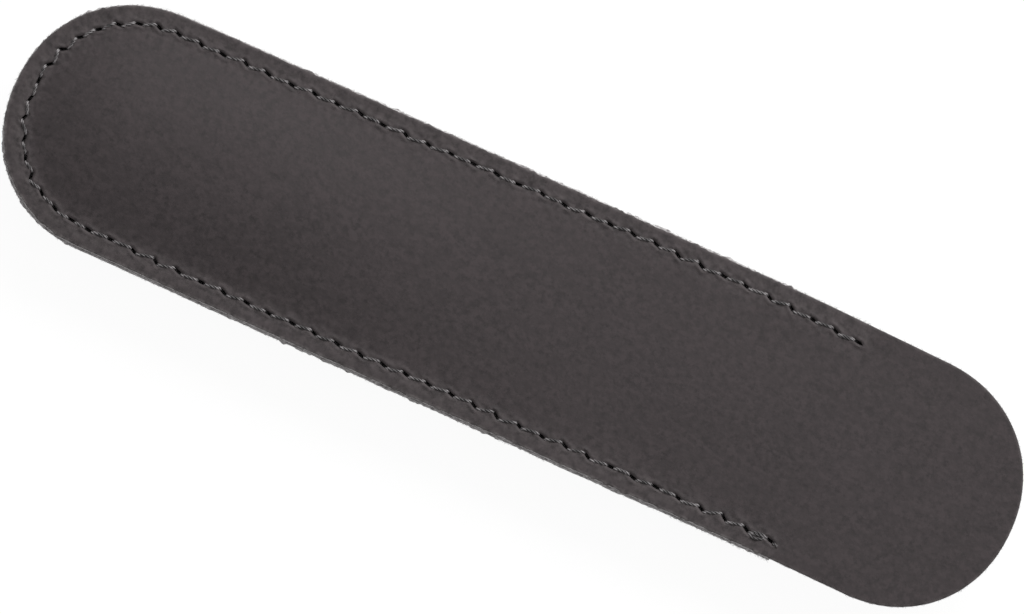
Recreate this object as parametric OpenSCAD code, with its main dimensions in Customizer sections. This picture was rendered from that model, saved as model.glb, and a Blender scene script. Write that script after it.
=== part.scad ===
// Single pen sleeve: two panels of thick leather lockstitched together round three sides.
// It lies on the bulge of its front panel. The back panel is uppermost and runs on past the
// pocket's mouth, towards +X, as a rounded tongue.

/* [Panels] */
// Length from the closed end to the tip of the tongue
overall_length = 175; // [150:1:210]
// Width of the back panel
back_width = 40.8; // [36:0.2:56]
// Thickness of the leather
leather = 1.6; // [1.2:0.1:2.2]
// How far the front panel stands out past the back panel's edge
front_overhang = 0.3; // [0:0.1:0.8]
// Length of the tongue past the pocket's mouth
tongue_length = 33.4; // [24:0.2:50]

/* [Pocket] */
// Depth that the front panel bulges below its sewn margin
pocket_depth = 7; // [5:0.5:9]
// Width of the flat strip that the sleeve lies on
strip_width = 4; // [2:0.5:6]
// Steepest angle of the bulge's wall
wall_angle = 40; // [38:1:60]
// Radius of the bend where the bulge leaves the sewn margin
margin_bend = 3; // [2:0.5:5]
// Rise of the back panel's crown over the closed half of the pocket
crown_height = 2.4; // [1:0.1:4]
// Rise of the same crown at the pocket's mouth
mouth_crown = 0.3; // [0.1:0.1:1]
// Length over which the crown sinks on its way to the mouth
crown_fade = 105; // [70:1:118]

/* [Seam] */
// Distance of the seam from the back panel's edge
seam_inset = 2.8; // [2.4:0.1:4]
// Flat leather left between the seam and the moulded pocket
seam_land = 1.2; // [0.9:0.1:2]
// Stitch length along the straight sides
stitch_length = 4; // [3.2:0.1:5]
// Stitch length round the closed end, where the sleeve turns under the needle
bend_stitch = 3.2; // [2.6:0.1:4]
// Distance from the mouth's edge to the first needle hole
first_hole = 1.2; // [1:0.1:3]
// Diameter of the sewing thread
thread_d = 0.5; // [0.4:0.05:0.6]
// Gap between the thread and the wall of its needle hole
hole_gap = 0.06; // [0.05:0.01:0.1]
// Distance between the two legs of a thread in one needle hole
leg_spacing = 1.2; // [0.8:0.05:1.5]
// Angle between a needle hole's slit and the run of the seam
hole_slant = 21; // [10:1:50]

/* [Hidden] */
$fn = 128;
cut = 0.5;
back_colour = [0.27, 0.26, 0.265];
front_colour = [0.24, 0.23, 0.235];
bobbin_colour = [0.38, 0.36, 0.365];
needle_colour = [0.33, 0.31, 0.32];

// The panels meet face to face on the seam plane, and the front's flat strip lies at z = 0.
seam_z = pocket_depth + leather;
back_r = back_width / 2;
front_r = back_r + front_overhang;
closed_x = -overall_length / 2 + front_r;
tongue_x = overall_length / 2 - back_r;
mouth_x = overall_length / 2 - tongue_length;
seam_r = back_r - seam_inset;
mould_r = seam_r - seam_land;

// The seam starts at the mouth on the +Y side, goes round the closed end and comes back.
seam_start_x = mouth_x - first_hole;
side_run = seam_start_x - closed_x;
side_stitches = round(side_run / stitch_length);
bend_stitches = round(PI * seam_r / bend_stitch);
last_hole = 2 * side_stitches + bend_stitches;

// Needle hole k, as its place [x, y] and its direction of sewing
function bend_turn(k) = min(180, max(0, (k - side_stitches) * 180 / bend_stitches));
function side_hole_x(k) = closed_x + side_run * (1 - k / side_stitches);
function sewn_way(k) = 180 + bend_turn(k);
function hole_at(k) =
    k < side_stitches ? [side_hole_x(k), seam_r]
    : k > last_hole - side_stitches ? [side_hole_x(last_hole - k), -seam_r]
    : [closed_x + seam_r * cos(90 + bend_turn(k)), seam_r * sin(90 + bend_turn(k))];

// Section of the front panel: a flat strip, a round bend up, a straight wall, a bend back
// and the flat sewn margin. The inside runs one thickness of leather from the outside.
bend_steps = 8;
strip_r = strip_width / 2;
wall_out = mould_r - strip_r - pocket_depth / tan(wall_angle);
strip_bend = wall_out / tan(wall_angle / 2) - margin_bend;
bend_angles = [for (i = [0 : bend_steps]) wall_angle * i / bend_steps];
function backwards(list) = [for (i = [len(list) - 1 : -1 : 0]) list[i]];
function low_bend(r) = [for (a = bend_angles)
    [strip_r + r * sin(a), strip_bend - r * cos(a)]];
function high_bend(r) = [for (a = backwards(bend_angles))
    [mould_r - r * sin(a), pocket_depth - margin_bend + r * cos(a)]];
bulge_outside = concat(low_bend(strip_bend), high_bend(margin_bend));
bulge_inside = concat(low_bend(strip_bend - leather), high_bend(margin_bend + leather));
sewn_edge = [[front_r, pocket_depth], [front_r, seam_z]];
right_half = concat(bulge_outside, sewn_edge, backwards(bulge_inside));
left_half = [for (p = backwards(right_half)) [-p[0], p[1]]];

module front_shell() {
    translate([closed_x, 0, 0]) {
        rotate([90, 0, 90]) linear_extrude(mouth_x - closed_x)
            polygon(concat(right_half, left_half));
        rotate([0, 0, 90]) rotate_extrude(angle = 180)
            polygon(concat([[0, 0]], right_half, [[0, leather]]));
    }
}

// Slanted slits that the needle's blade cuts through one panel
slit_width = thread_d + 2 * hole_gap;
module needle_holes(low_z) {
    for (k = [0 : last_hole])
        translate([hole_at(k)[0], hole_at(k)[1], low_z - cut])
            rotate([0, 0, sewn_way(k) - hole_slant]) linear_extrude(leather + 2 * cut) {
                square([leg_spacing, slit_width], center = true);
                for (end = [-0.5, 0.5])
                    translate([end * leg_spacing, 0]) circle(d = slit_width, $fn = 24);
            }
}

module front_panel() {
    color(front_colour) difference() {
        front_shell();
        needle_holes(pocket_depth);
    }
}

// Back panel: rings of points, from its edge in to the middle line, follow its rounded outline
arc_steps = 24;
side_steps = 14;
ring_size = 2 * (arc_steps + side_steps);
ring_shares = [1, 0.93, 0.82, 0.64, 0.4, 0.1];
crown_foot = 1.25;
crown_sag = 2.5;
ring_radii = concat([back_r], ring_shares * mould_r);
ring_count = len(ring_radii);
function smooth(s) = let (t = min(1, max(0, s))) t * t * (3 - 2 * t);
function crown(x) = x > mouth_x
    ? mouth_crown * smooth((tongue_x - x) / (tongue_x - mouth_x))
    : mouth_crown + (crown_height - mouth_crown)
        * pow(smooth((mouth_x - x) / crown_fade), crown_sag);
function rise(x, r) = r < mould_r ? crown(x) * pow(1 - pow(r / mould_r, 2), crown_foot) : 0;
function end_arc(x, r, start) = [for (i = [0 : arc_steps])
    let (a = start + 180 * i / arc_steps) [x + r * cos(a), r * sin(a)]];
function long_side(from, to, y) = [for (i = [1 : side_steps - 1])
    [from + (to - from) * i / side_steps, y]];
function outline(r) = concat(
    end_arc(closed_x, r, 90), long_side(closed_x, tongue_x, -r),
    end_arc(tongue_x, r, -90), long_side(tongue_x, closed_x, r));
function ring(r, base_z) = [for (p = outline(r)) [p[0], p[1], base_z + rise(p[0], r)]];

// Quads between two rings of a sleeve of points, and the strip that closes the middle line
function band(a, b, size) = [for (i = [0 : size - 1]) let (j = (i + 1) % size)
    [a * size + i, b * size + i, b * size + j, a * size + j]];
function across(i) = (arc_steps - i + ring_size) % ring_size;
function middle_strip(a) = [for (n = [0 : ring_size / 2 - 1])
    let (i = arc_steps / 2 + n, quad = [across(i), across(i + 1), i + 1, i],
        face = n == 0 ? [quad[1], quad[2], quad[3]]
            : n == ring_size / 2 - 1 ? [quad[0], quad[2], quad[3]] : quad)
        [for (p = face) a * ring_size + p]];

module back_shell() {
    rings = concat(
        [for (r = ring_radii) ring(r, seam_z + leather)],
        [for (r = backwards(ring_radii)) ring(r, seam_z)]);
    last = len(rings) - 1;
    polyhedron(
        points = [for (one = rings) each one],
        faces = concat(
            [for (k = [0 : last - 1]) if (k != ring_count - 1) each band(k, k + 1, ring_size)],
            band(last, 0, ring_size),
            middle_strip(ring_count - 1),
            [for (face = middle_strip(ring_count)) backwards(face)]));
}

module back_panel() {
    color(back_colour) difference() {
        back_shell();
        needle_holes(seam_z);
    }
}

// Sewing thread: over the leather from hole to hole, down one leg and up the other in each
thread_r = thread_d / 2;
thread_sides = 6;
thread_bend = 0.36 * thread_d;
rest_gap = 0.02;
function unit(v) = v / norm(v);
function slit(k) = let (a = sewn_way(k) - hole_slant) [cos(a), sin(a)] * leg_spacing / 2;
function leg_in(k) = hole_at(k) - slit(k);
function leg_out(k) = hole_at(k) + slit(k);
function lifted(p, z) = [p[0], p[1], z];

// Route of one thread. side is 1 for the thread on top and -1 for the one underneath.
function thread_route(side, face_z) =
    let (run_z = face_z + side * (thread_r + rest_gap), leg_z = run_z - side * thread_bend,
        lock_z = seam_z + side * thread_r)
    [for (k = [0 : last_hole]) each concat(
        k == 0 ? [] :
            let (back = thread_bend * unit(leg_in(k) - leg_out(k - 1)))
            [lifted(leg_in(k) - back, run_z), lifted(leg_in(k), leg_z)],
        [lifted(leg_in(k), lock_z), lifted(leg_out(k), lock_z)],
        k == last_hole ? [] :
            let (ahead = thread_bend * unit(leg_in(k + 1) - leg_out(k)))
            [lifted(leg_out(k), leg_z), lifted(leg_out(k) + ahead, run_z)])];

// Tube along a route: each ring lies in the plane that halves the corner at its point
function heading(route, i) = unit(route[i + 1] - route[i]);
function half_way(route, i) =
    i == 0 ? heading(route, 0)
    : i == len(route) - 1 ? heading(route, i - 1)
    : unit(heading(route, i - 1) + heading(route, i));
function carried(v, route, i) = // the side direction v, taken round the corner at point i
    let (before = heading(route, i - 1), plane = half_way(route, i),
        on_plane = v - before * (v * plane) / (before * plane), after = heading(route, i))
    unit(on_plane - after * (on_plane * after));
function tube_ring(route, i, v) =
    let (way = heading(route, max(0, i - 1)), w = cross(way, v), plane = half_way(route, i))
    [for (n = [0 : thread_sides - 1])
        let (a = 360 * (n + 0.5) / thread_sides, p = thread_r * (v * cos(a) + w * sin(a)))
        route[i] + p - way * (p * plane) / (way * plane)];
module thread(route) {
    last = len(route) - 1;
    first_side = unit(cross(heading(route, 0), [0, 0, 1]));
    rings = [for (i = 0, v = first_side; i <= last;
        v = i > 0 && i < last ? carried(v, route, i) : v, i = i + 1) tube_ring(route, i, v)];
    polyhedron(
        points = [for (one = rings) each one],
        faces = concat(
            [[for (n = [0 : thread_sides - 1]) n]],
            [for (k = [0 : last - 1]) each band(k, k + 1, thread_sides)],
            [[for (n = [thread_sides - 1 : -1 : 0]) last * thread_sides + n]]));
}

module needle_thread() {
    color(needle_colour) thread(thread_route(-1, pocket_depth));
}

module bobbin_thread() {
    color(bobbin_colour) thread(thread_route(1, seam_z + leather));
}

front_panel();
back_panel();
needle_thread();
bobbin_thread();
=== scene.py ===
import math
import random

import bmesh
import bpy
import numpy as np
from mathutils import Matrix, Vector, noise


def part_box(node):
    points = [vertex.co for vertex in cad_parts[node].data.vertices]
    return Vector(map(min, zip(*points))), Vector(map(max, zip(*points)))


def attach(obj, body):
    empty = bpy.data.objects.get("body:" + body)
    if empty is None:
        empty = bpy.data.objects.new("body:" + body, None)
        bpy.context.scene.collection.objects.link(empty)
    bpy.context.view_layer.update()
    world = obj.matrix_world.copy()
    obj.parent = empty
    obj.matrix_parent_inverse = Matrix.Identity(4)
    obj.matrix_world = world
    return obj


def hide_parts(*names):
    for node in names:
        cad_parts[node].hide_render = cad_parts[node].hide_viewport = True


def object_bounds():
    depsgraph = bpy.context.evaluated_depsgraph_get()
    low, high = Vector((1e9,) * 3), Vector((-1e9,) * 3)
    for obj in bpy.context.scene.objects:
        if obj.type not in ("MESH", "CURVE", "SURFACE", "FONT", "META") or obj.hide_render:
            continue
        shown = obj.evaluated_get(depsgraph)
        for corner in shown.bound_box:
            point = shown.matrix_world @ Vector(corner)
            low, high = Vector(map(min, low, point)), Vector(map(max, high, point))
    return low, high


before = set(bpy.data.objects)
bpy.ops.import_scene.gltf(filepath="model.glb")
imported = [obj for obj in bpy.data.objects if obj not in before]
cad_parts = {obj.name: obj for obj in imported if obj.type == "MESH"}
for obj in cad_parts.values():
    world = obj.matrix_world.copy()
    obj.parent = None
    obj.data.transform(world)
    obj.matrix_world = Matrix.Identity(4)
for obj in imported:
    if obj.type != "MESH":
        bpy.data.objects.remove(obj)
cad_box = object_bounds()


# Photographer's table. The sleeve lies aslant on a plain white sheet in an even white room,
# under one wide soft lamp that stands past its upper side. The camera looks down on it from
# far off, leaning a little towards the lower side, so that the raw edge there just shows.
MM = 0.001
up = Vector((0, 0, 1))
sleeve_middle = (Vector(cad_box[0]) + Vector(cad_box[1])) / 2
lie = math.radians(24.27)
picture_right = Vector((math.cos(lie), math.sin(lie), 0))
picture_up = up.cross(picture_right)

camera_lean = math.radians(5.5)
camera_distance = 1500 * MM
width_in_view = 164.1 * MM
sensor_width = 36
nearest_seen, farthest_seen = 10 * MM, 20
off_centre = 0.18 * MM * picture_right + 0.37 * MM * picture_up
lamp_towards = 0.9 * picture_right + 1.0 * picture_up + 0.85 * up
lamp_distance = 900 * MM
lamp_length, lamp_width = 900 * MM, 500 * MM
lamp_watts = 13.4
white = (1, 1, 1, 1)
room_level = 0.52
room_level_seen = 1
sheet_half_width = 3
sheet_below = 0.01 * MM
paper_white = (0.93, 0.93, 0.93, 1)
sheet_glow = 1.02
glow_share = 0.92


def put(name, data):
    """Puts a mesh, curve, lamp or camera into the scene."""
    thing = bpy.data.objects.new(name, data)
    bpy.context.scene.collection.objects.link(thing)
    return thing


def put_mesh(name, bm, finishes):
    """Puts a modelled mesh into the scene, with its finishes."""
    mesh = bpy.data.meshes.new(name)
    bm.to_mesh(mesh)
    bm.free()
    for finish in finishes:
        mesh.materials.append(finish)
    return put(name, mesh)


def facing(spot, right, above, back):
    """Stands a lamp or camera at a spot, with its back to the given way."""
    return Matrix.Translation(spot) @ Matrix((right, above, back)).transposed().to_4x4()


def new_finish(name):
    """A material, with its nodes, its links and its shader."""
    finish = bpy.data.materials.new(name)
    finish.use_nodes = True
    nodes, links = finish.node_tree.nodes, finish.node_tree.links
    return finish, nodes, links, nodes["Principled BSDF"]


def work_out(kind, nodes, links, *terms):
    """A sum of textures' values and plain numbers, which stand in the order given."""
    node = nodes.new("ShaderNodeMath")
    node.operation = kind
    for socket, term in zip(node.inputs, terms):
        if isinstance(term, float):
            socket.default_value = term
        else:
            links.new(term, socket)
    return node.outputs[0]


def mix_shaders(nodes, links, share, first, second, output):
    """Goes from the first shader to the second as share goes from 0 to 1."""
    mix = nodes.new("ShaderNodeMixShader")
    for source, socket in zip((share, first.outputs[0], second.outputs[0]), mix.inputs):
        links.new(source, socket)
    links.new(mix.outputs[0], nodes[output].inputs["Surface"])


camera_back = math.cos(camera_lean) * up - math.sin(camera_lean) * picture_up
camera_up = camera_back.cross(picture_right)
camera_data = bpy.data.cameras.new("camera")
camera_data.sensor_width = sensor_width
camera_data.lens = sensor_width * camera_distance / width_in_view
camera_data.clip_start = nearest_seen
camera_data.clip_end = farthest_seen
camera = put("camera", camera_data)
camera.matrix_world = facing(
    sleeve_middle - off_centre + camera_distance * camera_back,
    picture_right, camera_up, camera_back)
bpy.context.scene.camera = camera
bpy.context.scene.view_settings.view_transform = "Standard"

lamp_data = bpy.data.lights.new("soft_lamp", "AREA")
lamp_data.shape = "RECTANGLE"
lamp_data.size = lamp_length
lamp_data.size_y = lamp_width
lamp_data.energy = lamp_watts
lamp_back = lamp_towards.normalized()
lamp_side = -picture_right.cross(lamp_back).cross(lamp_back).normalized()
put("soft_lamp", lamp_data).matrix_world = facing(
    sleeve_middle + lamp_distance * lamp_back,
    lamp_side, lamp_back.cross(lamp_side), lamp_back)

room = bpy.data.worlds.new("white_room")
room.use_nodes = True
bpy.context.scene.world = room
nodes, links = room.node_tree.nodes, room.node_tree.links
room_light = nodes["Background"]
room_seen = nodes.new("ShaderNodeBackground")
for wall, level in ((room_light, room_level), (room_seen, room_level_seen)):
    wall.inputs["Color"].default_value = white
    wall.inputs["Strength"].default_value = level
ray = nodes.new("ShaderNodeLightPath").outputs
mix_shaders(nodes, links, ray["Is Camera Ray"], room_light, room_seen, "World Output")

white_sheet, nodes, links, paper = new_finish("white_sheet")
paper.inputs["Base Color"].default_value = paper_white
paper.inputs["Roughness"].default_value = 1
paper.inputs["Specular IOR Level"].default_value = 0
glow = nodes.new("ShaderNodeEmission")
glow.inputs["Strength"].default_value = sheet_glow
ray = nodes.new("ShaderNodeLightPath").outputs
seen = work_out("MAXIMUM", nodes, links, ray["Is Camera Ray"], ray["Is Glossy Ray"])
seen = work_out("MAXIMUM", nodes, links, seen, ray["Is Transmission Ray"])
seen = work_out("MULTIPLY", nodes, links, seen, glow_share)
mix_shaders(nodes, links, seen, paper, glow, "Material Output")

sheet_bm = bmesh.new()
bmesh.ops.create_grid(sheet_bm, x_segments=1, y_segments=1, size=sheet_half_width,
                      matrix=Matrix.Translation((0, 0, -sheet_below)))
table_sheet = put_mesh("table_sheet", sheet_bm, [white_sheet])


# Back panel. One piece of thick matt leather, round at both ends, that runs the whole
# length: the sleeve's back over the pocket, and the pull tongue past the mouth. A die cuts
# it out, so its edge is raw, and its pocket half has taken on a low crown.
back_low, back_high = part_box("back_panel")
front_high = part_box("front_panel")[1]
leather = 1.6 * MM
seam_inset = 2.8 * MM
seam_land = 1.2 * MM
mouth_crown = 0.3 * MM
crown_fade = 105 * MM
crown_sag = 2.5
crown_foot = 1.25
ripple, ripple_length = 0.05 * MM, 13 * MM
seam_plane = front_high.z
back_radius = back_high.y
closed_centre = back_low.x + back_radius
tongue_centre = back_high.x - back_radius
mouth = front_high.x
seam_radius = back_radius - seam_inset
pocket_radius = seam_radius - seam_land
crown_height = back_high.z - seam_plane - leather

# Spacing of the mesh: along the sleeve, across the seam, across the margin and inside both
station_step = 0.3 * MM
seam_step = 0.25 * MM
margin_step = 0.45 * MM
coarse_step = 1.7 * MM
inner_line = seam_radius - 2.1 * MM
outer_line = seam_radius + 1.4 * MM
join_within = 0.02 * MM
no_length = 1e-9

back_dye = (0.0186, 0.0143, 0.0150), (0.0379, 0.0300, 0.0314)
# Paler grain for rubbed places, also used as painted light on the lower side's cut corner.
rubbed_and_painted_light_grain = (0.19, 0.175, 0.172)
suede_colours = (0.25, 0.235, 0.232), (0.53, 0.503, 0.496)
raw_edge_colours = (0.145, 0.137, 0.138), (0.485, 0.466, 0.47)
# Near-black slit walls: painted shade for the deep, narrow needle holes, not the leather's
# own colour.
slit_shade_colours = (0.004, 0.004, 0.004), (0.014, 0.013, 0.013)


def run_on(bm, ends, offset, step):
    """Draws the end of a line, or a whole line, on by offset in equal steps."""
    steps = max(1, round(Vector(offset).length / step))
    return bmesh.ops.spin(
        bm, geom=ends, cent=(0, 0, 0), axis=up, angle=0, steps=steps,
        dvec=Vector(offset) / steps, use_duplicate=False)["geom_last"]


def swing(bm, ends, centre, axis, angle, steps):
    """Carries the end of a line, or a whole line, round a bend."""
    return bmesh.ops.spin(
        bm, geom=ends, cent=centre, axis=axis, angle=angle, steps=steps, dvec=(0, 0, 0),
        use_duplicate=False)["geom_last"]


def lay_up(bm, outer_radius, end, round_end):
    """Makes a whole face of leather from half its section: round the closed end, along
    the side and, for a tongue, round the other end, then over to the other side."""
    section = bm.verts[:] + bm.edges[:]
    turns = round(outer_radius * math.pi / 2 / station_step)
    swing(bm, section, (closed_centre, 0, 0), up, math.pi / 2, turns)
    last = run_on(bm, section, (end - closed_centre, 0, 0), station_step)
    if round_end:
        swing(bm, last, (end, 0, 0), up, -math.pi / 2, turns)
    bmesh.ops.remove_doubles(bm, verts=bm.verts[:], dist=join_within)
    bmesh.ops.mirror(bm, geom=bm.verts[:] + bm.edges[:] + bm.faces[:], axis="Y",
                     matrix=Matrix.Identity(4), merge_dist=join_within)
    bmesh.ops.recalc_face_normals(bm, faces=bm.faces[:])


GRAIN, FLESH, RAW_EDGE, SLIT_WALL = range(4)


def give_thickness(bm, outward):
    """Makes a sheet of leather from its grain face, which faces outward. The cut edge gets
    layers that can fray, and its two corners are eased."""
    edge_cuts = 4
    grain_ease, flesh_ease, ease_steps = 0.16 * MM, 0.24 * MM, 3
    if sum(f.normal.dot(outward) * f.calc_area() for f in bm.faces) < 0:
        bmesh.ops.reverse_faces(bm, faces=bm.faces[:])
    grain = set(bm.faces)
    made = bmesh.ops.solidify(bm, geom=bm.faces[:], thickness=leather)["geom"]
    flesh = {f for f in made if isinstance(f, bmesh.types.BMFace)} - grain
    for f in bm.faces:
        f.material_index = GRAIN if f in grain else FLESH if f in flesh else RAW_EDGE
    layers = [e for e in bm.edges
              if all(f.material_index == RAW_EDGE for f in e.link_faces)]
    bmesh.ops.subdivide_edges(bm, edges=layers, cuts=edge_cuts, use_grid_fill=True)
    for side, eased, shown in ((GRAIN, grain_ease, GRAIN), (FLESH, flesh_ease, RAW_EDGE)):
        corner = [e for e in bm.edges
                  if {f.material_index for f in e.link_faces} == {side, RAW_EDGE}]
        bmesh.ops.bevel(bm, geom=corner, offset=eased, segments=ease_steps, profile=0.5,
                        affect="EDGES", material=shown)


def smooth(share):
    """Eases a share in and out, and holds it between 0 and 1."""
    share = np.clip(share, 0, 1)
    return share * share * (3 - 2 * share)


def bell(distance, width):
    """1 on a line, falling away to nothing over about twice the width."""
    return np.exp(-(distance / width) ** 2)


def cloud(points, size, layer=0.0):
    """A soft random value at each point, from about -1 to 1, in patches of that size."""
    shift = Vector((17.3, 5.1, 9.7)) * (layer + 1)
    return np.array([noise.noise(Vector(p) / size + shift) for p in points])


def spine_offset(points):
    """From the sleeve's middle line, as far as the ends' centres, out to each point."""
    x = points[:, 0]
    past_end = np.minimum(x - closed_centre, 0) + np.maximum(x - tongue_centre, 0)
    return np.stack([past_end, points[:, 1]], 1)


def fill_out(points):
    """Makes the round ends a little squarer and blunter than half circles and lets them
    lean to one side, as the die's do. The die is also a trace narrower towards its ends."""
    square, least_sum = 2.1, 0.5
    blunt = 0.0075
    narrower = 0.009
    closed_lean, closed_run = 0.25 * MM, 8 * MM
    tongue_lean, tongue_run = 0.76 * MM, 18 * MM
    offset = spine_offset(points)
    reach = np.maximum(np.hypot(*offset.T), no_length)
    way = np.abs(offset) / reach[:, None]
    fuller = np.maximum((way ** square).sum(1), least_sum) ** (-1 / square)
    moved = points.copy()
    moved[:, :2] += offset * (fuller - 1)[:, None]
    moved[:, 0] -= blunt * offset[:, 0]
    moved[:, 1] *= 1 - narrower * (np.clip(points[:, 0], closed_centre, tongue_centre)
                                   / tongue_centre) ** 2
    along_closed = (closed_centre + closed_run - points[:, 0]) / (back_radius + closed_run)
    along_tongue = (points[:, 0] - mouth + tongue_run) / (back_high.x - mouth + tongue_run)
    moved[:, 1] -= closed_lean * smooth(along_closed) + tongue_lean * smooth(along_tongue)
    return moved


# Needle holes: the places along the seam, from the mouth round the closed end and back.
# The seam wanders in and out of its line by so many mm at each share of its length.
first_hole = 1.2 * MM
side_stitch = 4 * MM
bend_stitch = 3.2 * MM
seam_wander = ((0, -0.5), (0.05, 0), (0.14, 0.3), (0.24, 0), (0.4, -0.1), (0.6, -0.3),
               (0.67, 0.06), (0.9, 0.03), (1, 0.24))
hole_stray = 0.06 * MM
hole_slant, slant_stray = math.radians(21), math.radians(11)
slit_length_range = 1.6, 1.95
slit_width = 0.48 * MM
blade_outwards, blade_inwards = 1.6 * leather, 0.4 * leather
leg_from_slit_end = 0.2 * MM
side_run = mouth - first_hole - closed_centre
side_stitches = round(side_run / side_stitch)
bend_stitches = round(math.pi * seam_radius / bend_stitch)
last_hole = 2 * side_stitches + bend_stitches
seam_random = random.Random(11)
hole_places, slit_ways, slit_lengths = [], [], []
for hole in range(last_hole + 1):
    turn = min(max(hole - side_stitches, 0), bend_stitches) * math.pi / bend_stitches
    sewn = max(side_stitches - hole, hole - side_stitches - bend_stitches, 0)
    radius = seam_radius + np.interp(hole / last_hole, *zip(*seam_wander)) * MM
    place = (closed_centre + sewn * side_run / side_stitches
             + radius * math.cos(math.pi / 2 + turn),
             radius * math.sin(math.pi / 2 + turn))
    stray = [seam_random.gauss(0, hole_stray) for _ in range(2)]
    hole_places.append([place[0] + stray[0], place[1] + stray[1], 0])
    slant = math.pi + turn - hole_slant + seam_random.gauss(0, slant_stray)
    slit_ways.append((math.cos(slant), math.sin(slant)))
    slit_lengths.append(seam_random.uniform(*slit_length_range) * MM)
hole_places = fill_out(np.array(hole_places))[:, :2]
slit_ways = np.array(slit_ways)
slit_lengths = np.array(slit_lengths)
leg_reach = (slit_lengths / 2 - leg_from_slit_end)[:, None]
legs_in = hole_places - slit_ways * leg_reach
legs_out = hole_places + slit_ways * leg_reach


def near_line(points, starts, ends):
    """Distance on plan from each point to the nearest of some short lines."""
    far_off = 1.0
    runs = ends - starts
    lengths = (runs ** 2).sum(1)
    nearest = np.full(len(points), far_off)
    for start, run, length in zip(starts, runs, lengths):
        share = np.clip(((points[:, :2] - start) @ run) / length, 0, 1)
        gap = points[:, :2] - start - share[:, None] * run
        nearest = np.minimum(nearest, np.hypot(*gap.T))
    return nearest


def pulled_in(points):
    """How far the tight seam pulls the leather's face in at each point: a dip in each hole
    with a raised rim, a groove under the thread, and a shallow, puckered hollow."""
    hole_dip, hole_width = 0.2 * MM, 0.32 * MM
    rim_rise, rim_place, rim_width = 0.13 * MM, 0.55 * MM, 0.22 * MM
    groove, groove_width = 0.04 * MM, 0.4 * MM
    hollow, hollow_width = 0.06 * MM, 1.2 * MM
    pucker, pucker_size, pucker_width = 0.12 * MM, 0.75 * MM, 2.6 * MM
    seam_band, past_mouth = 4 * MM, 3 * MM
    depth = np.zeros(len(points))
    off_seam = np.abs(np.hypot(*spine_offset(points).T) - seam_radius)
    sewn = (off_seam < seam_band) & (points[:, 0] < mouth + past_mouth)
    near = points[sewn]
    at_hole = near_line(near, legs_in, legs_out)
    at_thread = near_line(near, legs_out[:-1], legs_in[1:])
    along_seam = np.minimum(at_hole, at_thread)
    depth[sewn] = (
        hole_dip * bell(at_hole, hole_width)
        - rim_rise * bell(at_hole - rim_place, rim_width)
        + groove * bell(at_thread, groove_width)
        + hollow * bell(along_seam, hollow_width)
        + pucker * cloud(near, pucker_size, 3) * bell(along_seam, pucker_width))
    return depth


def wear_edge(points, outer_radius):
    """Shifts the raw edge in and out, in long waves and in frayed fibres. Fingers have
    rubbed it smoother round the tongue."""
    spread, edge_band = 0.09 * MM, 1.2 * MM
    wave, wave_length = 0.05 * MM, 9 * MM
    rim_band, rim_fade = 0.2 * MM, 0.15 * MM
    fine_fray, fine_size = 0.12 * MM, 0.7 * MM
    tuft_fray, tuft_size, tuft_from = 0.6 * MM, 1.1 * MM, 0.3
    coarse_fray, coarse_size = 0.08 * MM, 2.3 * MM
    rubbed_off, rubbed_before, rubbed_run = 0.75, 3 * MM, 6 * MM
    layers_draw = np.array([1, 1, 3.5])
    offset = spine_offset(points)
    reach = np.maximum(np.hypot(*offset.T), no_length)
    at_edge = smooth((reach - outer_radius + edge_band) / edge_band)
    on_rim = smooth((reach - outer_radius + rim_band) / rim_fade)
    on_tongue = smooth((points[:, 0] - mouth + rubbed_before) / rubbed_run)
    frayed = on_rim * (1 - rubbed_off * on_tongue)
    layered = points * layers_draw
    tufts = np.maximum(cloud(layered, tuft_size, 4) - tuft_from, 0)
    shift = (spread * at_edge + wave * at_edge * cloud(points, wave_length)
             + fine_fray * frayed * cloud(layered, fine_size, 1)
             + tuft_fray * frayed * tufts
             + coarse_fray * frayed * cloud(layered, coarse_size, 2))
    moved = points.copy()
    moved[:, :2] += offset / reach[:, None] * shift[:, None]
    return moved


def mark_wear_and_painted_light(bm, points, reach, outer_radius):
    """Notes how far the dye is rubbed off: a trace outside the seam, more where the
    machine's foot pressed along it, and most on the cut's corner. The lower side's corner
    gets more still, as painted light: a paler colour standing in for light on its shaded
    edge."""
    margin_wear, foot_wear, corner_wear, lower_corner_painted_light = 0.03, 0.05, 0.18, 0.2
    margin_from, margin_fade = 1 * MM, 2 * MM
    foot_width, corner_width = 1.5 * MM, 0.3 * MM
    past_mouth, sewn_fade = 2 * MM, 3 * MM
    sewn = smooth((mouth + past_mouth - points[:, 0]) / sewn_fade)
    margin = sewn * smooth((reach - seam_radius + margin_from) / margin_fade)
    foot_mark = sewn * bell(reach - seam_radius, foot_width)
    corner = smooth((reach - outer_radius + corner_width) / corner_width)
    # Painted light: the lower side's corner, in the lamp's shade, is made paler still.
    corner *= corner_wear + lower_corner_painted_light * sewn * (points[:, 1] < 0)
    wear_and_painted_light = bm.verts.layers.float.new("wear_and_painted_light")
    for v, share in zip(bm.verts, margin_wear * margin + foot_wear * foot_mark + corner):
        v[wear_and_painted_light] = share


def finished_mesh(thing):
    """The mesh that an object's curve or its modifiers make."""
    bpy.context.view_layer.update()
    return bpy.data.meshes.new_from_object(
        thing.evaluated_get(bpy.context.evaluated_depsgraph_get()))


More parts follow.
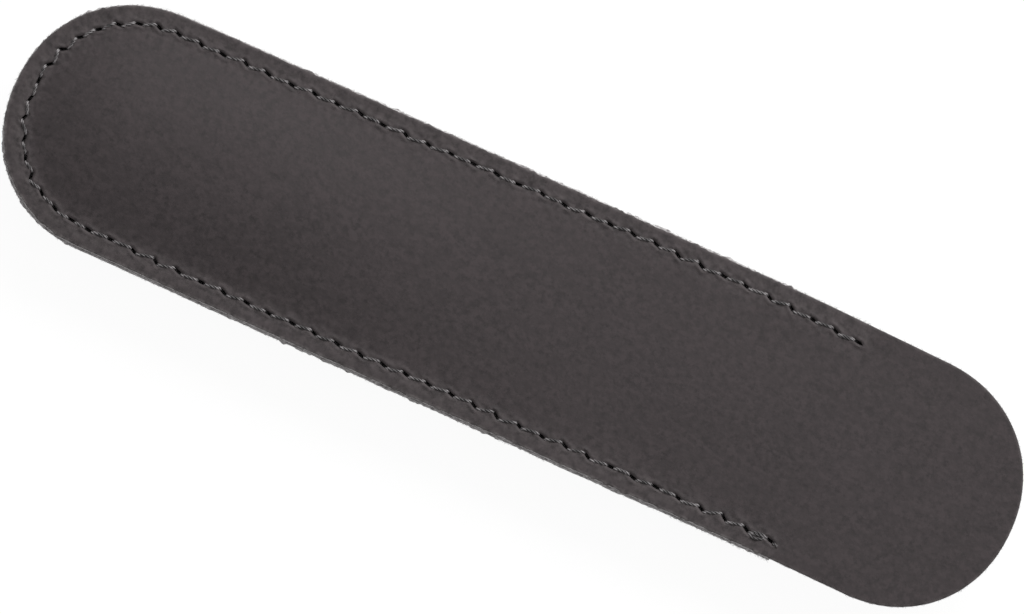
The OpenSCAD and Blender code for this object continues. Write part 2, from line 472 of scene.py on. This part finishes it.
def cut_slits(panel, grain_side, flesh_side):
    """Cuts the needle's slits through a panel: slanted ovals that draw together inside."""
    inner_share, outer_share, corners = 0.3, 0.62, 14
    sliver, sharp_from = 0.0005 * MM, math.radians(50)
    blade_bm = bmesh.new()
    for place, way, length in zip(hole_places, slit_ways, slit_lengths):
        bmesh.ops.create_cone(
            blade_bm, cap_ends=True, segments=corners, radius1=inner_share,
            radius2=outer_share, depth=1,
            matrix=Matrix.Translation((*place, (grain_side + flesh_side) / 2))
            @ Matrix.Rotation(math.atan2(way[1], way[0]), 4, "Z")
            @ Matrix.Diagonal((length, slit_width, grain_side - flesh_side, 1)))
    bmesh.ops.recalc_face_normals(blade_bm, faces=blade_bm.faces[:])
    # The slit walls take the near-black finish: painted shade for the holes' depth.
    for f in blade_bm.faces:
        f.material_index = SLIT_WALL
    blade = put_mesh("needle_blade", blade_bm, panel.data.materials)
    cut = panel.modifiers.new("slits", "BOOLEAN")
    cut.object = blade
    cut.operation = "DIFFERENCE"
    cut.solver = "MANIFOLD"
    slit_mesh = finished_mesh(panel)
    panel.modifiers.clear()
    plain_mesh, panel.data = panel.data, slit_mesh
    bpy.data.meshes.remove(plain_mesh)
    bpy.data.objects.remove(blade)
    trued = bmesh.new()
    trued.from_mesh(slit_mesh)
    bmesh.ops.dissolve_degenerate(trued, dist=sliver, edges=trued.edges[:])
    trued.to_mesh(slit_mesh)
    trued.free()
    slit_mesh.polygons.foreach_set("use_smooth", [True] * len(slit_mesh.polygons))
    slit_mesh.set_sharp_from_angle(angle=sharp_from)


def speckle(nodes, links, place, scale, **settings):
    """A soft random value over the surface, a set number of patches to the metre."""
    noise_node = nodes.new("ShaderNodeTexNoise")
    links.new(place, noise_node.inputs["Vector"])
    noise_node.inputs["Scale"].default_value = scale
    for name, value in settings.items():
        noise_node.inputs[name].default_value = value
    return noise_node.outputs["Fac"]


def turned(nodes, links, place, scale, rotation=(0, 0, 0)):
    """The same coordinates, drawn together along one way or another."""
    mapping = nodes.new("ShaderNodeMapping")
    mapping.inputs["Rotation"].default_value = rotation
    mapping.inputs["Scale"].default_value = scale
    links.new(place, mapping.inputs["Vector"])
    return mapping.outputs[0]


def mapped(nodes, links, value, low, high, to_low, to_high):
    """Takes a texture's value from low and high to two others, and holds it there."""
    node = nodes.new("ShaderNodeMapRange")
    links.new(value, node.inputs["Value"])
    for name, number in (("From Min", low), ("From Max", high),
                         ("To Min", to_low), ("To Max", to_high)):
        node.inputs[name].default_value = number
    return node.outputs["Result"]


def blend_colours(nodes, links, share, dark, light, low, high):
    """Goes from one colour to another as a texture's value goes from low to high."""
    ramp = nodes.new("ShaderNodeValToRGB")
    ends = ramp.color_ramp.elements
    ends[0].position, ends[0].color = low, (*dark, 1)
    ends[1].position, ends[1].color = high, (*light, 1)
    links.new(share, ramp.inputs["Fac"])
    return ramp.outputs["Color"]


def fade(nodes, links, share, colour, faded_colour):
    """Goes from a textured colour to a plain one as share goes from 0 to 1."""
    mix = nodes.new("ShaderNodeMix")
    mix.data_type = "RGBA"
    links.new(share, mix.inputs["Factor"])
    links.new(colour, mix.inputs[6])
    mix.inputs[7].default_value = (*faded_colour, 1)
    return mix.outputs[2]


def marked(nodes, name):
    """The value that a piece's mesh holds under that name."""
    node = nodes.new("ShaderNodeAttribute")
    node.attribute_name = name
    return node.outputs["Fac"]


def rough_up(nodes, links, shader, height, strength, depth):
    """Lets the light catch on a texture's heights."""
    bump = nodes.new("ShaderNodeBump")
    bump.inputs["Strength"].default_value = strength
    bump.inputs["Distance"].default_value = depth
    links.new(height, bump.inputs["Height"])
    links.new(bump.outputs["Normal"], shader.inputs["Normal"])


def dyed_grain(name, dark, light):
    """Matt dyed grain: soft clouds of dye, faint aslant streaks and a fine nap, closer in
    some streaks than in others. Where it is rubbed, the paler leather shows in patches. The
    same paler colour is painted light on the lower side's cut corner."""
    cloud_scale, streak_scale, nap_scale, pore_scale = 110, 220, 850, 1500
    streak_draw, streak_lean = (1, 4, 1), math.radians(55)
    roughness_dark, roughness_light = 0.72, 0.84
    grain_relief, grain_depth = 0.5, 0.06 * MM
    finish, nodes, links, skin = new_finish(name)
    place = nodes.new("ShaderNodeTexCoord").outputs["Object"]
    streaked = turned(nodes, links, place, streak_draw, (0, 0, streak_lean))
    clouds = speckle(nodes, links, place, cloud_scale, Detail=3.0, Roughness=0.55)
    streaks = speckle(nodes, links, streaked, streak_scale, Detail=4.0, Roughness=0.6)
    nap = speckle(nodes, links, place, nap_scale, Detail=4.0, Roughness=0.72)
    pores = nodes.new("ShaderNodeTexVoronoi")
    pores.feature = "SMOOTH_F1"
    pores.inputs["Scale"].default_value = pore_scale
    pores.inputs["Randomness"].default_value = 1
    links.new(place, pores.inputs["Vector"])

    closeness = mapped(nodes, links, streaks, 0.36, 0.64, 2.5, 11)
    spots = work_out("SUBTRACT", nodes, links, nap, 0.5)
    mottling = work_out("ADD", nodes, links, streaks, clouds)
    spotted = work_out("MULTIPLY_ADD", nodes, links, spots, closeness, mottling)
    tone = mapped(nodes, links, spotted, -0.07, 1.81, 0, 1)
    dye = blend_colours(nodes, links, tone, dark, light, 0, 1)
    patchy = mapped(nodes, links, nap, 0.35, 0.65, 0.3, 1.7)
    # The mark holds real wear and, on the lower corner, painted light.
    rubbed_and_painted_light_share = work_out("MULTIPLY", nodes, links, marked(nodes, "wear_and_painted_light"), patchy)
    links.new(fade(nodes, links, rubbed_and_painted_light_share, dye, rubbed_and_painted_light_grain), skin.inputs["Base Color"])
    links.new(mapped(nodes, links, tone, 0, 1, roughness_dark, roughness_light),
              skin.inputs["Roughness"])
    skin.inputs["Specular IOR Level"].default_value = 0.4
    height = work_out("ADD", nodes, links, pores.outputs["Distance"], nap)
    rough_up(nodes, links, skin, height, grain_relief, grain_depth)
    return finish


def fibrous(name, dark, light, layered):
    """Undyed fibre: flat layers on a cut edge, loose suede on the flesh side."""
    strand_scale, strand_relief, strand_depth = 1300, 0.8, 0.1 * MM
    finish, nodes, links, fibre = new_finish(name)
    place = nodes.new("ShaderNodeTexCoord").outputs["Object"]
    layers = turned(nodes, links, place, (1, 1, layered))
    strands = speckle(nodes, links, layers, strand_scale, Detail=5.0, Roughness=0.7)
    links.new(blend_colours(nodes, links, strands, dark, light, 0.36, 0.64),
              fibre.inputs["Base Color"])
    fibre.inputs["Roughness"].default_value = 0.95
    fibre.inputs["Specular IOR Level"].default_value = 0.2
    rough_up(nodes, links, fibre, strands, strand_relief, strand_depth)
    return finish


back_grain = dyed_grain("back_black_grain", *back_dye)
flesh_suede = fibrous("flesh_suede", *suede_colours, 1)
raw_cut = fibrous("raw_cut_edge", *raw_edge_colours, 3)
# Painted shade: the slit walls are made near black so the holes read dark.
slit_painted_shade = fibrous("slit_wall_painted_shade", *slit_shade_colours, 1)

back_bm = bmesh.new()
middle_point = back_bm.verts.new((closed_centre, 0, seam_plane + leather))
end = run_on(back_bm, [middle_point], (0, inner_line, 0), coarse_step)
end = run_on(back_bm, end, (0, outer_line - inner_line, 0), seam_step)
run_on(back_bm, end, (0, back_radius - outer_line, 0), margin_step)
lay_up(back_bm, back_radius, tongue_centre, True)
give_thickness(back_bm, up)

points = np.array([v.co for v in back_bm.verts])
height_share = (points[:, 2] - seam_plane) / leather
reach = np.hypot(*spine_offset(points).T)
pocket_crown = np.where(
    points[:, 0] > mouth,
    mouth_crown * smooth((tongue_centre - points[:, 0]) / (tongue_centre - mouth)),
    mouth_crown + (crown_height - mouth_crown)
    * smooth((mouth - points[:, 0]) / crown_fade) ** crown_sag)
dome = np.maximum(1 - (reach / pocket_radius) ** 2, 0) ** crown_foot
points = fill_out(points)
sinking = pulled_in(points)
points[:, 2] += pocket_crown * dome - sinking * height_share
points[:, 2] += height_share * ripple * cloud(points, ripple_length, 5)
points = wear_edge(points, back_radius)
mark_wear_and_painted_light(back_bm, points, reach, back_radius)
for v, place in zip(back_bm.verts, points):
    v.co = place
back_leather = put_mesh(
    "back_panel_leather", back_bm, (back_grain, flesh_suede, raw_cut, slit_painted_shade))
cut_slits(back_leather, seam_plane + blade_outwards, seam_plane - blade_inwards)
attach(back_leather, "root")
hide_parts("back_panel")


# Front panel. A shorter piece of the same leather, cut straight across at the mouth. It is
# wetted and pressed into a shallow trough before sewing, which makes the pocket. Its margin
# stands out a little past the back panel, and is trimmed closer towards the mouth.
front_radius = front_high.y
pocket_depth = seam_plane - leather
half_strip = 2 * MM
wall_angle = math.radians(40)
margin_bend = 3 * MM
press_fade = 1 * MM
trimmed, trimmed_run = 0.16 * MM, 25 * MM
trim_past_seam, trim_fade = 1 * MM, 1.5 * MM
trough_step = 1 * MM
strip_bend_steps, margin_bend_steps = 10, 6
front_dye = (0.0176, 0.0136, 0.0142), (0.0359, 0.0284, 0.0298)
wall_out = pocket_radius - half_strip - pocket_depth / math.tan(wall_angle)
strip_bend = wall_out / math.tan(wall_angle / 2) - margin_bend

front_bm = bmesh.new()
end = [front_bm.verts.new((closed_centre, 0, 0))]
end = run_on(front_bm, end, (0, half_strip, 0), trough_step)
end = swing(front_bm, end, (closed_centre, half_strip, strip_bend), (1, 0, 0), wall_angle,
            strip_bend_steps)
wall_foot = Vector(end[0].co)
wall_top = Vector((closed_centre, pocket_radius - margin_bend * math.sin(wall_angle),
                   pocket_depth - margin_bend + margin_bend * math.cos(wall_angle)))
end = run_on(front_bm, end, wall_top - wall_foot, trough_step)
end = swing(front_bm, end, (closed_centre, pocket_radius, pocket_depth - margin_bend),
            (1, 0, 0), -wall_angle, margin_bend_steps)
end = run_on(front_bm, end, (0, outer_line - pocket_radius, 0), seam_step)
run_on(front_bm, end, (0, front_radius - outer_line, 0), margin_step)
lay_up(front_bm, front_radius, mouth, False)
give_thickness(front_bm, -up)

points = np.array([v.co for v in front_bm.verts])
reach = np.hypot(*spine_offset(points).T)
in_margin = smooth((reach - pocket_radius + press_fade) / press_fade)
depth_share = np.clip((seam_plane - points[:, 2]) / leather, 0, 1) * in_margin
points = fill_out(points)
sinking = pulled_in(points)
points[:, 2] += sinking * depth_share
points = wear_edge(points, front_radius)
near_mouth = smooth((points[:, 0] - mouth + trimmed_run) / trimmed_run)
on_margin = smooth((reach - seam_radius - trim_past_seam) / trim_fade)
points[:, 1] -= trimmed * near_mouth * on_margin * np.sign(points[:, 1])
mark_wear_and_painted_light(front_bm, points, reach, front_radius)
for v, place in zip(front_bm.verts, points):
    v.co = place
front_grain = dyed_grain("front_black_grain", *front_dye)
front_leather = put_mesh(
    "front_panel_leather", front_bm, (front_grain, flesh_suede, raw_cut, slit_painted_shade))
cut_slits(front_leather, seam_plane - blade_outwards, seam_plane + blade_inwards)
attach(front_leather, "root")
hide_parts("front_panel")


# Bobbin thread. Waxed three-ply thread that lies on the back panel, the side in the
# photograph. The machine runs it from slit to slit, catches it on the needle thread inside
# the leather, and sews the first and last stitches over again so that they hold.
ply_count = 3
ply_radius = 0.13 * MM
ply_offset = 0.155 * MM
twist_length = 2.2 * MM
thread_step = 0.17 * MM
lock_height = 0.2 * MM
thread_pressed_in = 0.2 * MM
slit_drop = 0.45 * MM
slit_lip = 0.30 * MM
bobbin_colours = (0.033, 0.030, 0.031), (0.105, 0.097, 0.099)
# Painted glint: a pale colour laid on the thread where it dips into each slit.
painted_glint_colour = (0.38, 0.36, 0.365)


def through(knots, step):
    """Evenly spaced points on a smooth line through the knots."""
    points_to_knot = 12
    knots = np.array(knots)
    padded = np.concatenate([[2 * knots[0] - knots[1]], knots, [2 * knots[-1] - knots[-2]]])
    fine = []
    for a, b, c, d in zip(padded, padded[1:], padded[2:], padded[3:]):
        for t in np.linspace(0, 1, points_to_knot, endpoint=False):
            fine.append(0.5 * (2 * b + (c - a) * t + (2 * a - 5 * b + 4 * c - d) * t ** 2
                               + (3 * b - a - 3 * c + d) * t ** 3))
    fine = np.array(fine + [knots[-1]])
    along = np.concatenate([[0], np.cumsum(np.linalg.norm(np.diff(fine, axis=0), axis=1))])
    even = np.linspace(0, along[-1], max(2, round(along[-1] / step)))
    return np.stack([np.interp(even, along, fine[:, axis]) for axis in range(3)], 1)


def sewn_route(side, face, seed):
    """The thread's line. side is 1 on top of the sleeve and -1 underneath it. Each pass
    goes from one hole to another, so many mm beside the seam's line."""
    rng = random.Random(seed)
    stray, heap = 0.06, 0.25
    arch_range, middle_range, sag_range = (0.04, 0.14), (0.35, 0.65), (0.0, 0.05)
    at_slit, past_slit = 0.1, 0.6
    passes = ([(1, 0, 0.1), (0, 1, -0.1)] + [(k, k + 1, 0) for k in range(1, last_hole)]
              + [(last_hole, last_hole - 1, 0.3), (last_hole - 1, last_hole, -0.55)])
    loose_end = (0.0, -0.45), (0.15, 0.1), (0.5, 0.15), (0.85, 0.08)
    lock = seam_plane + side * lock_height
    knots = [(*legs_out[1], lock)]
    for start, finish, beside in passes:
        forward = finish > start
        leave = legs_out[start] if forward else legs_in[start]
        arrive = legs_in[finish] if forward else legs_out[finish]
        run = (arrive - leave) / np.linalg.norm(arrive - leave)
        out = np.array([-run[1], run[0]]) * (1 if forward else -1)
        aside = out * (beside + rng.gauss(0, stray)) * MM
        tall = (rng.uniform(*arch_range) + heap * abs(beside)) * MM
        middle = leave + rng.uniform(*middle_range) * (arrive - leave)
        low = rng.uniform(*sag_range) * MM
        for spot, z in (
                (leave, lock),
                (leave + at_slit * aside, face - side * slit_drop),
                (leave + slit_lip * run + past_slit * aside, face + side * low),
                (middle + aside, face + side * tall),
                (arrive - slit_lip * run + past_slit * aside, face + side * low),
                (arrive + at_slit * aside, face - side * slit_drop),
                (arrive, lock)):
            knots.append((spot[0], spot[1], z))
        if finish in (0, last_hole):
            knots.append((*(legs_in[finish] + legs_out[finish] - arrive), lock))
    for along, z in loose_end:
        knots.append((*(legs_out[last_hole] + along * MM * slit_ways[last_hole]),
                      face + side * z * MM))
    return through(knots, thread_step)


def tubes(name, radius, roundness):
    """An empty set of tubes to draw lines in."""
    drawn = bpy.data.curves.new(name, "CURVE")
    drawn.dimensions = "3D"
    drawn.bevel_depth = radius
    drawn.bevel_resolution = roundness
    drawn.use_fill_caps = True
    return drawn


def mesh_of(drawn, name, finish):
    """Makes a mesh of drawn tubes, with their ends closed."""
    line = put(name + "_drawn", drawn)
    mesh = finished_mesh(line)
    bpy.data.objects.remove(line)
    bpy.data.curves.remove(drawn)
    closed = bmesh.new()
    closed.from_mesh(mesh)
    bmesh.ops.remove_doubles(closed, verts=closed.verts[:], dist=0.001 * MM)
    closed.to_mesh(mesh)
    closed.free()
    mesh.name = name
    mesh.materials.clear()
    mesh.materials.append(finish)
    return mesh


def twist_plies(name, route, finish):
    """Lays the plies round the route, and marks where they bend into each slit, the places
    where the thread's finish paints a glint.
    """
    ways = np.gradient(route, axis=0)
    ways /= np.linalg.norm(ways, axis=1)[:, None]
    beside = np.zeros_like(route)
    beside[0] = np.cross(ways[0], (0.0, 0.0, 1.0) if abs(ways[0][2]) < 0.9 else (1.0, 0, 0))
    for i in range(1, len(route)):
        beside[i] = beside[i - 1] - ways[i] * (beside[i - 1] @ ways[i])
        beside[i] /= np.linalg.norm(beside[i])
    above = np.cross(ways, beside)
    gone = np.concatenate([[0], np.cumsum(np.linalg.norm(np.diff(route, axis=0), axis=1))])
    plies = tubes(name, ply_radius, 1)
    for ply in range(ply_count):
        angle = (gone / twist_length + ply / ply_count) * 2 * math.pi
        line = (route + beside * (ply_offset * np.cos(angle))[:, None]
                + above * (ply_offset * np.sin(angle))[:, None])
        spline = plies.splines.new("POLY")
        spline.points.add(len(line) - 1)
        spline.points.foreach_set(
            "co", np.concatenate([line, np.ones((len(line), 1))], 1).ravel())
    mesh = mesh_of(plies, name, finish)
    mesh.polygons.foreach_set("use_smooth", [True] * len(mesh.polygons))
    bend_share, bend_width = 0.1, 0.35 * MM
    spots = np.array([v.co for v in mesh.vertices])
    run = bend_share * (legs_in[1:] - legs_out[:-1])
    at_bend = np.minimum(near_line(spots, legs_out[:-1], legs_out[:-1] + run),
                         near_line(spots, legs_in[1:] - run, legs_in[1:]))
    bend = mesh.attributes.new("bend", "FLOAT", "POINT")
    bend.data.foreach_set("value", bell(at_bend, bend_width))
    return put(name, mesh)


def waxed_thread(name, dark, light):
    """Dark filament thread with wax: satin plies, with a painted glint, a paler colour,
    where they bend into a slit.
    """
    wax_scale, painted_glint_share = 480, 0.42
    bare_roughness, waxed_roughness = 0.6, 0.35
    finish, nodes, links, fibre = new_finish(name)
    place = nodes.new("ShaderNodeTexCoord").outputs["Object"]
    wax = speckle(nodes, links, place, wax_scale, Detail=3.0)
    waxed = blend_colours(nodes, links, wax, dark, light, 0.48, 0.66)
    # Painted glint near the slits' ends, mixed in by the bend mark.
    painted_glint = work_out("MULTIPLY", nodes, links, marked(nodes, "bend"), painted_glint_share)
    links.new(fade(nodes, links, painted_glint, waxed, painted_glint_colour), fibre.inputs["Base Color"])
    links.new(mapped(nodes, links, wax, 0.3, 0.7, bare_roughness, waxed_roughness),
              fibre.inputs["Roughness"])
    fibre.inputs["Specular IOR Level"].default_value = 0.45
    return finish


bobbin_route = sewn_route(1, seam_plane + leather - thread_pressed_in, 21)
bobbin = twist_plies("bobbin_thread_plies", bobbin_route,
                     waxed_thread("waxed_bobbin_thread", *bobbin_colours))
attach(bobbin, "root")
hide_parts("bobbin_thread")


# Needle thread. The same thread from the machine's needle side. It lies on the front
# panel's margin, underneath, and goes down each slit to catch the bobbin thread.
needle_colours = (0.031, 0.028, 0.029), (0.1, 0.092, 0.094)
needle_route = sewn_route(-1, pocket_depth + thread_pressed_in, 22)
needle = twist_plies("needle_thread_plies", needle_route,
                     waxed_thread("waxed_needle_thread", *needle_colours))
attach(needle, "root")
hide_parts("needle_thread")


# Frayed fibres. Where the die cut the two panels, loose ends of the leather's own fibres
# stand out of the raw edges as a short, sparse fuzz.
fibre_radius = 0.026 * MM
fibre_root = 0.12 * MM
fibre_length_range = 0.12, 0.5
fibre_lean, fibre_rise = 0.8, 0.35
fibre_bends, fibre_taper = (0, 0.4, 0.75, 1), 0.75
near_corners, between_corners = (0.04, 0.96), (0.05, 0.95)
back_fibres, front_fibres = 1700, 2600
fibre_colours = (0.09, 0.084, 0.085), (0.3, 0.284, 0.288)
fibre_random = random.Random(31)


def rim_spot(share, radius, open_end, far_end):
    """A place on a panel's outline and the way out from it, share 0 to 1 round it."""
    run = far_end - closed_centre
    arc = math.pi * radius
    gone = share * (2 * run + arc * (2 if open_end else 1))
    if gone < run:
        return Vector((closed_centre + gone, radius, 0)), Vector((0, 1, 0))
    gone -= run
    if gone < run:
        return Vector((closed_centre + gone, -radius, 0)), Vector((0, -1, 0))
    gone -= run
    centre, start = (closed_centre, math.pi / 2) if gone < arc else (far_end, -math.pi / 2)
    turn = start + (gone % arc) / radius
    way = Vector((math.cos(turn), math.sin(turn), 0))
    return Vector((centre, 0, 0)) + radius * way, way


fuzz = tubes("raw_edge_fibres", fibre_radius, 0)
for radius, low, open_end, far_end, count in (
        (back_radius, seam_plane, True, tongue_centre, back_fibres),
        (front_radius, pocket_depth, False, mouth, front_fibres)):
    for _ in range(count):
        foot, out = rim_spot(fibre_random.random(), radius, open_end, far_end)
        along = up.cross(out)
        between = fibre_random.uniform(*between_corners)
        lift = fibre_random.choice((*near_corners, between))
        start = foot - fibre_root * out + up * (low + leather * lift)
        bend = (along * fibre_random.gauss(0, fibre_lean)
                + up * fibre_random.gauss(0, fibre_rise))
        length = fibre_random.uniform(*fibre_length_range) * MM
        strand = fuzz.splines.new("POLY")
        strand.points.add(len(fibre_bends) - 1)
        for point, share in zip(strand.points, fibre_bends):
            spot = start + length * share * (out + bend * share)
            point.co = (*spot, 1)
            point.radius = 1 - fibre_taper * share
fuzz_mesh = mesh_of(fuzz, "raw_edge_fibres", fibrous("frayed_fibre", *fibre_colours, 1))
fuzz_points = np.array([v.co for v in fuzz_mesh.vertices])
for v, place in zip(fuzz_mesh.vertices, fill_out(fuzz_points)):
    v.co = place
fuzz_mesh.update()
edge_fuzz = put("raw_edge_fibres", fuzz_mesh)
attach(edge_fuzz, "root")
